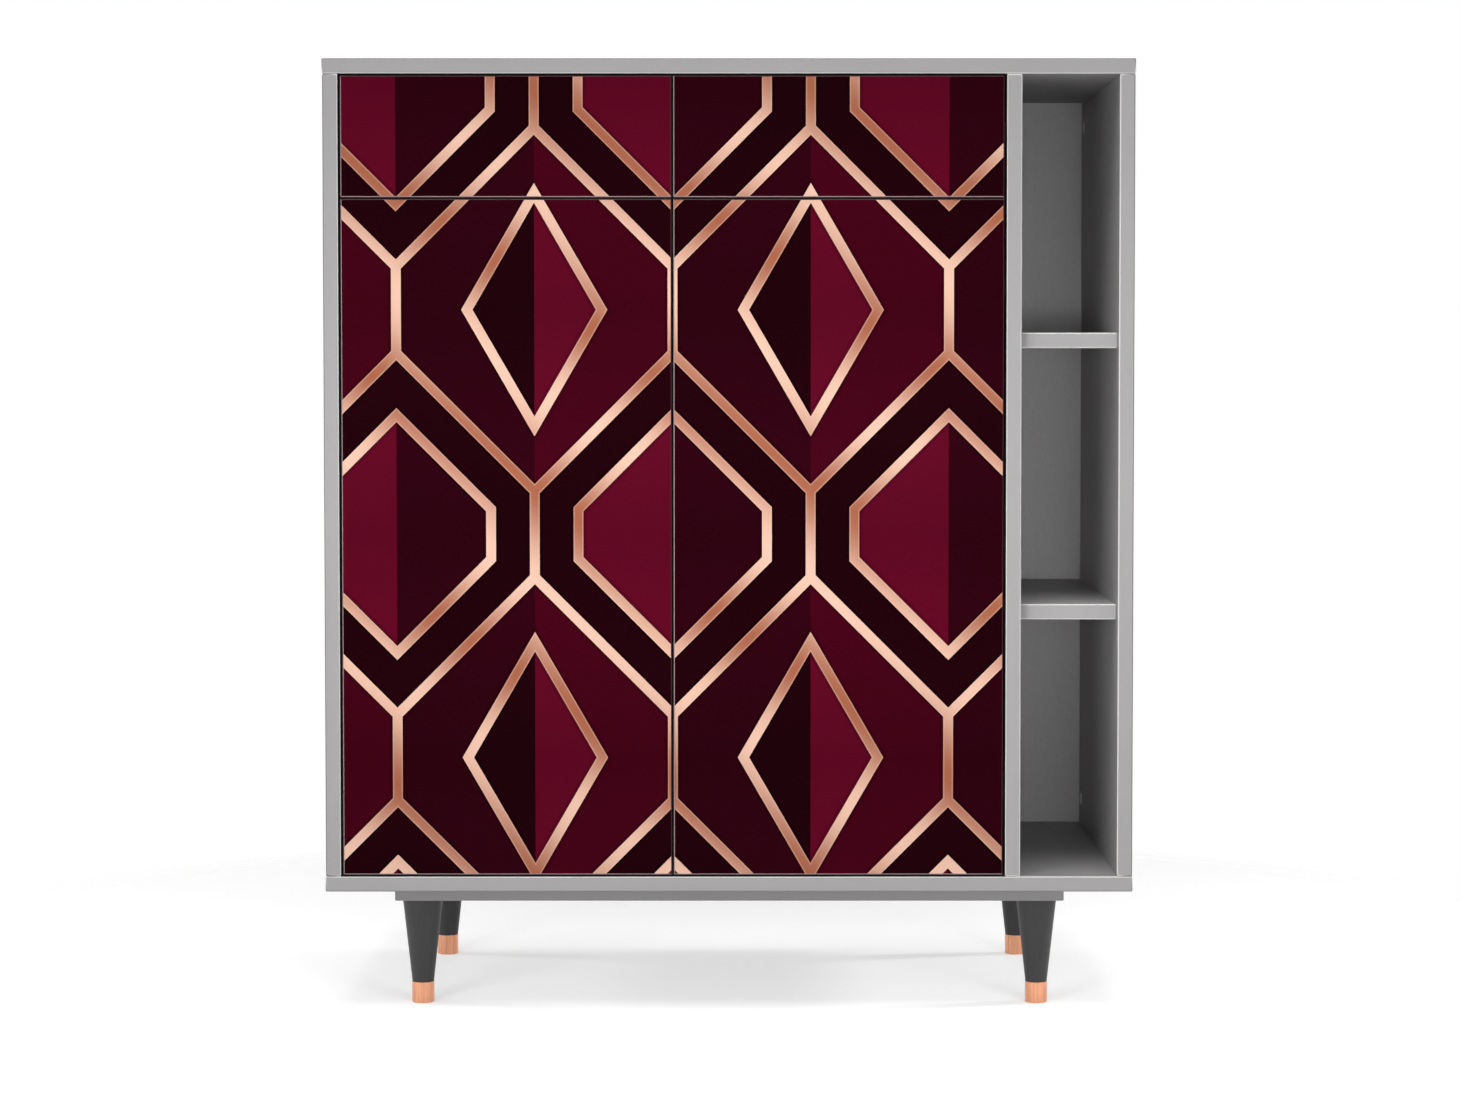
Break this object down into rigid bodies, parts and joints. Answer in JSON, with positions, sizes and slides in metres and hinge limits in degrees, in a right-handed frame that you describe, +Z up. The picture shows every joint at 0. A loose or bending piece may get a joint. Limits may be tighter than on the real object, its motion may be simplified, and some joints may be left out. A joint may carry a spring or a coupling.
{
  "type": "sideboard",
  "caption": "Tall sideboard on tapered legs: printed glass doors under drawers, all opened by pressing, beside an open column of niches.",
  "frame": {"origin": "on the floor, under the middle of the top", "axes": "+X to the right seen from the front, +Y from the front to the back, +Z up; the fronts look along -Y"},
  "size_m": [0.94, 0.48, 1.11],
  "materials": {
    "grey_board": "satin light grey laminate on board",
    "drawer_board": "pale grey foiled board",
    "leaf_board": "dark coated board",
    "printed_glass": "gloss, printed at the back with burgundy fields and rose-gold bands",
    "leg_lacquer": "satin dark grey lacquer",
    "copper": "polished copper",
    "nickelled_steel": "nickel plated",
    "zinc_steel": "zinc plated",
    "latch_plastic": "matt grey"
  },
  "bodies": {
    "root": {"top_panel": "grey_board", "bottom_panel": "grey_board", "left_side_panel": "grey_board", "right_side_panel": "grey_board", "niche_divider": "grey_board", "centre_partition": "grey_board", "left_drawer_deck": "grey_board", "right_drawer_deck": "grey_board", "niche_upper_shelf": "grey_board", "niche_lower_shelf": "grey_board", "left_cupboard_shelf": "grey_board", "right_cupboard_shelf": "grey_board", "back_panel": "grey_board", "base_board": "grey_board", "front_left_leg": "leg_lacquer", "front_right_leg": "leg_lacquer", "rear_left_leg": "leg_lacquer", "rear_right_leg": "leg_lacquer", "front_left_ferrule": "copper", "front_right_ferrule": "copper", "rear_left_ferrule": "copper", "rear_right_ferrule": "copper", "right_side_upper_cam": "latch_plastic", "right_side_lower_cam": "latch_plastic", "left_door_lower_hinge_arm": "nickelled_steel", "left_door_upper_hinge_arm": "nickelled_steel", "right_door_lower_hinge_arm": "nickelled_steel", "right_door_upper_hinge_arm": "nickelled_steel", "left_latch_housing": "latch_plastic", "right_latch_housing": "latch_plastic", "left_drawer_left_runner_channel": "zinc_steel", "left_drawer_right_runner_channel": "zinc_steel", "right_drawer_left_runner_channel": "zinc_steel", "right_drawer_right_runner_channel": "zinc_steel"},
    "left_door": {"left_door_leaf": "leaf_board", "left_door_glass": "printed_glass", "left_door_lower_hinge_cup": "nickelled_steel", "left_door_upper_hinge_cup": "nickelled_steel"},
    "right_door": {"right_door_leaf": "leaf_board", "right_door_glass": "printed_glass", "right_door_lower_hinge_cup": "nickelled_steel", "right_door_upper_hinge_cup": "nickelled_steel"},
    "left_drawer": {"left_drawer_leaf": "leaf_board", "left_drawer_glass": "printed_glass", "left_drawer_left_side": "drawer_board", "left_drawer_right_side": "drawer_board", "left_drawer_back": "drawer_board", "left_drawer_bottom": "drawer_board", "left_drawer_left_runner_bar": "zinc_steel", "left_drawer_right_runner_bar": "zinc_steel"},
    "right_drawer": {"right_drawer_leaf": "leaf_board", "right_drawer_glass": "printed_glass", "right_drawer_left_side": "drawer_board", "right_drawer_right_side": "drawer_board", "right_drawer_back": "drawer_board", "right_drawer_bottom": "drawer_board", "right_drawer_left_runner_bar": "zinc_steel", "right_drawer_right_runner_bar": "zinc_steel"},
    "left_latch": {"left_latch_plunger": "latch_plastic"},
    "right_latch": {"right_latch_plunger": "latch_plastic"}
  },
  "joints": [
    {"name": "left_door_swing", "type": "hinge", "parent": "root", "child": "left_door", "pos_m": [-0.4245, -0.2277, 0.5555], "axis": [0, 0, -1], "range_deg": [0, 95]},
    {"name": "right_door_swing", "type": "hinge", "parent": "root", "child": "right_door", "pos_m": [0.294, -0.2277, 0.5555], "axis": [0, 0, 1], "range_deg": [0, 95]},
    {"name": "left_drawer_slide", "type": "slide", "parent": "root", "child": "left_drawer", "axis": [0, -1, 0], "range_m": [0, 0.3]},
    {"name": "right_drawer_slide", "type": "slide", "parent": "root", "child": "right_drawer", "axis": [0, -1, 0], "range_m": [0, 0.3]},
    {"name": "left_latch_push", "type": "slide", "parent": "root", "child": "left_latch", "axis": [0, -1, 0], "range_m": [0, 0.014]},
    {"name": "right_latch_push", "type": "slide", "parent": "root", "child": "right_latch", "axis": [0, -1, 0], "range_m": [0, 0.014]}
  ],
  "couplings": [
    {"joint": "left_latch_push", "follows": "left_door_swing", "m_per_rad": 0.0084},
    {"joint": "right_latch_push", "follows": "right_door_swing", "m_per_rad": 0.0084}
  ]
}
